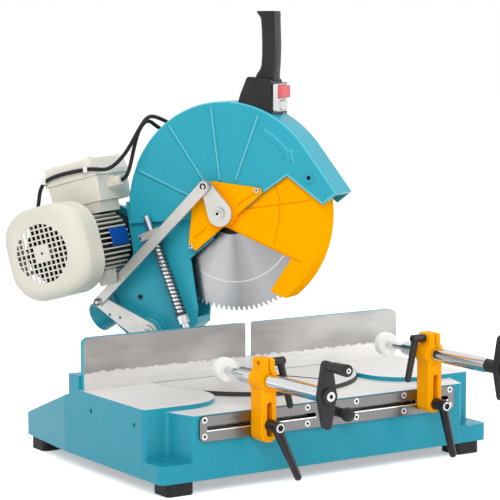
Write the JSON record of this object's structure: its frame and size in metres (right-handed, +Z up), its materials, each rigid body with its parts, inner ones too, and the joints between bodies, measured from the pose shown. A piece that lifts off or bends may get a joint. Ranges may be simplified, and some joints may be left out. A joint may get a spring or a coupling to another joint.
{
  "type": "mitre saw",
  "caption": "Bench mitre saw with a belt-driven blade on a swing arm, linked lower guard, turntable, fence and two screw clamps on a front rail.",
  "frame": {"origin": "middle of the four bench-bolt holes, on the floor under the feet", "axes": "+X along the fence to the right, +Y to the rear, +Z up"},
  "size_m": [0.6971, 0.857, 0.764],
  "materials": {
    "teal_casting": "gloss paint on cast aluminium",
    "machined_aluminium": "machined and painted casting",
    "teal_sheet": "gloss paint",
    "yellow_paint": "gloss paint",
    "motor_paint": "satin paint",
    "cream_plastic": "satin",
    "steel": "brushed",
    "polished_steel": "polished",
    "blade_steel": "ground",
    "black_plastic": "moulded",
    "white_nylon": "turned",
    "grey_plastic": "moulded",
    "red_plastic": "moulded",
    "black_rubber": "moulded"
  },
  "bodies": {
    "base": {"base_casting": "teal_casting", "rubber_feet": "black_rubber", "fence_left": "machined_aluminium", "fence_right": "machined_aluminium", "clamp_rail": "polished_steel", "rail_screws": "steel"},
    "lock_knob": {"lock_knob": "black_plastic"},
    "table": {"turntable": "machined_aluminium", "swivel_bolt": "steel", "arm_bracket": "teal_sheet", "pivot_shaft": "steel", "link_anchor": "steel"},
    "head": {"swing_arm": "teal_casting", "upper_guard": "teal_casting", "arbor_cover": "yellow_paint", "spring_lug": "steel", "motor_frame": "motor_paint", "fan_cowl": "cream_plastic", "terminal_box": "cream_plastic", "terminal_lid": "cream_plastic", "switch_lead": "black_rubber", "brake_lead": "black_rubber", "lead_clips": "white_nylon", "handle": "black_plastic", "switch_housing": "grey_plastic", "belt_cover": "teal_casting", "drive_belt": "black_rubber", "bearings": "steel"},
    "blade": {"saw_blade": "blade_steel", "arbor": "steel", "outer_flange": "steel", "arbor_bolt": "steel", "arbor_pulley": "machined_aluminium"},
    "rotor": {"rotor_shaft": "steel", "cooling_fan": "black_plastic", "motor_pulley": "machined_aluminium"},
    "guard": {"lower_guard": "yellow_paint", "guard_lever": "steel"},
    "link": {"link_bar": "steel"},
    "rod": {"spring_rod": "polished_steel", "return_spring": "polished_steel"},
    "stop_button": {"stop_button": "red_plastic"},
    "start_button": {"start_button": "grey_plastic"},
    "slide_left": {"slide_bolt_left": "steel"},
    "bracket_left": {"clamp_bracket_left": "yellow_paint"},
    "lock_left": {"lock_lever_left": "black_plastic"},
    "tube_lever_left": {"tube_lever_left": "black_plastic"},
    "tube_left": {"clamp_tube_left": "polished_steel"},
    "push_left": {"push_rod_left": "polished_steel", "clamp_pad_left": "white_nylon"},
    "crank_left": {"crank_left": "black_plastic"},
    "slide_right": {"slide_bolt_right": "steel"},
    "bracket_right": {"clamp_bracket_right": "yellow_paint"},
    "lock_right": {"lock_lever_right": "black_plastic"},
    "tube_lever_right": {"tube_lever_right": "black_plastic"},
    "tube_right": {"clamp_tube_right": "polished_steel"},
    "push_right": {"push_rod_right": "polished_steel", "clamp_pad_right": "white_nylon"},
    "crank_right": {"crank_right": "black_plastic"}
  },
  "joints": [
    {"name": "mitre_swivel", "type": "hinge", "parent": "base", "child": "table", "pos_m": [0, 0.019, 0.116], "axis": [0, 0, 1], "range_deg": [-75, 15]},
    {"name": "lock_knob_turn", "type": "hinge", "parent": "base", "child": "lock_knob", "pos_m": [0.005, -0.251, 0.106], "axis": [0, 1, 0], "range_deg": [-180, 180]},
    {"name": "head_chop", "type": "hinge", "parent": "table", "child": "head", "pos_m": [-0.087, 0.16969, 0.199], "axis": [0.866, 0.5, 0], "range_deg": [0, 33], "stiffness_Nm_per_rad": 40, "springref_deg": -34.38, "deforming": ["return_spring"]},
    {"name": "blade_spin", "type": "hinge", "parent": "head", "child": "blade", "pos_m": [-0.01535, 0.04559, 0.4177], "axis": [0.866, 0.5, 0], "continuous": true},
    {"name": "rotor_spin", "type": "hinge", "parent": "head", "child": "rotor", "pos_m": [-0.142, 0.26495, 0.3523], "axis": [0.866, 0.5, 0], "continuous": true},
    {"name": "guard_turn", "type": "hinge", "parent": "head", "child": "guard", "pos_m": [-0.01535, 0.04559, 0.4177], "axis": [0.866, 0.5, 0], "range_deg": [-61.5, 0.2]},
    {"name": "link_turn", "type": "hinge", "parent": "table", "child": "link", "pos_m": [-0.1355, 0.25369, 0.25], "axis": [0.866, 0.5, 0], "range_deg": [-0.2, 29.2]},
    {"name": "rod_turn", "type": "hinge", "parent": "table", "child": "rod", "pos_m": [-0.048, 0.10214, 0.2], "axis": [0.866, 0.5, 0], "range_deg": [-0.2, 31.5]},
    {"name": "stop_press", "type": "slide", "parent": "head", "child": "stop_button", "axis": [-0.5, 0.866, 0], "range_m": [0, 0.0018], "stiffness_N_per_m": 800, "springref_m": -0.001},
    {"name": "start_press", "type": "slide", "parent": "head", "child": "start_button", "axis": [-0.5, 0.866, 0], "range_m": [0, 0.0018], "stiffness_N_per_m": 600, "springref_m": -0.001},
    {"name": "rail_slide_left", "type": "slide", "parent": "base", "child": "slide_left", "axis": [-1, 0, 0], "range_m": [-0.085, 0.06]},
    {"name": "height_slide_left", "type": "slide", "parent": "slide_left", "child": "bracket_left", "axis": [0, 0, 1], "range_m": [-0.02, 0.012]},
    {"name": "lock_lever_turn_left", "type": "hinge", "parent": "slide_left", "child": "lock_left", "pos_m": [-0.1515, -0.29, 0.106], "axis": [0, 1, 0], "range_deg": [-60, 60]},
    {"name": "tube_lever_turn_left", "type": "hinge", "parent": "bracket_left", "child": "tube_lever_left", "pos_m": [-0.1515, -0.2578, 0.2045], "axis": [1, 0, 0], "range_deg": [-75, 20]},
    {"name": "tube_slide_left", "type": "slide", "parent": "bracket_left", "child": "tube_left", "axis": [0, -1, 0], "range_m": [-0.08, 0.03]},
    {"name": "crank_turn_left", "type": "hinge", "parent": "tube_left", "child": "crank_left", "pos_m": [-0.1515, -0.419, 0.1775], "axis": [0, -1, 0], "range_deg": [-3600, 3240]},
    {"name": "push_slide_left", "type": "slide", "parent": "tube_left", "child": "push_left", "axis": [0, -1, 0], "range_m": [-0.0405, 0.0365]},
    {"name": "rail_slide_right", "type": "slide", "parent": "base", "child": "slide_right", "axis": [1, 0, 0], "range_m": [-0.085, 0.045]},
    {"name": "height_slide_right", "type": "slide", "parent": "slide_right", "child": "bracket_right", "axis": [0, 0, 1], "range_m": [-0.033, 0.001]},
    {"name": "lock_lever_turn_right", "type": "hinge", "parent": "slide_right", "child": "lock_right", "pos_m": [0.1853, -0.29, 0.106], "axis": [0, 1, 0], "range_deg": [-60, 60]},
    {"name": "tube_lever_turn_right", "type": "hinge", "parent": "bracket_right", "child": "tube_lever_right", "pos_m": [0.1853, -0.2578, 0.2172], "axis": [1, 0, 0], "range_deg": [-75, 20]},
    {"name": "tube_slide_right", "type": "slide", "parent": "bracket_right", "child": "tube_right", "axis": [0, -1, 0], "range_m": [-0.06, 0.03]},
    {"name": "crank_turn_right", "type": "hinge", "parent": "tube_right", "child": "crank_right", "pos_m": [0.1853, -0.411, 0.1902], "axis": [0, -1, 0], "range_deg": [-3600, 3600]},
    {"name": "push_slide_right", "type": "slide", "parent": "tube_right", "child": "push_right", "axis": [0, -1, 0], "range_m": [-0.0405, 0.0405]}
  ],
  "couplings": [
    {"joint": "guard_turn", "follows": "head_chop", "ratio": -1.85},
    {"joint": "link_turn", "follows": "head_chop", "ratio": 0.869},
    {"joint": "rod_turn", "follows": "head_chop", "ratio": 0.9325},
    {"joint": "rotor_spin", "follows": "blade_spin", "ratio": 0.88889},
    {"joint": "push_slide_left", "follows": "crank_turn_left", "m_per_rad": 0.00063662},
    {"joint": "push_slide_right", "follows": "crank_turn_right", "m_per_rad": 0.00063662}
  ]
}
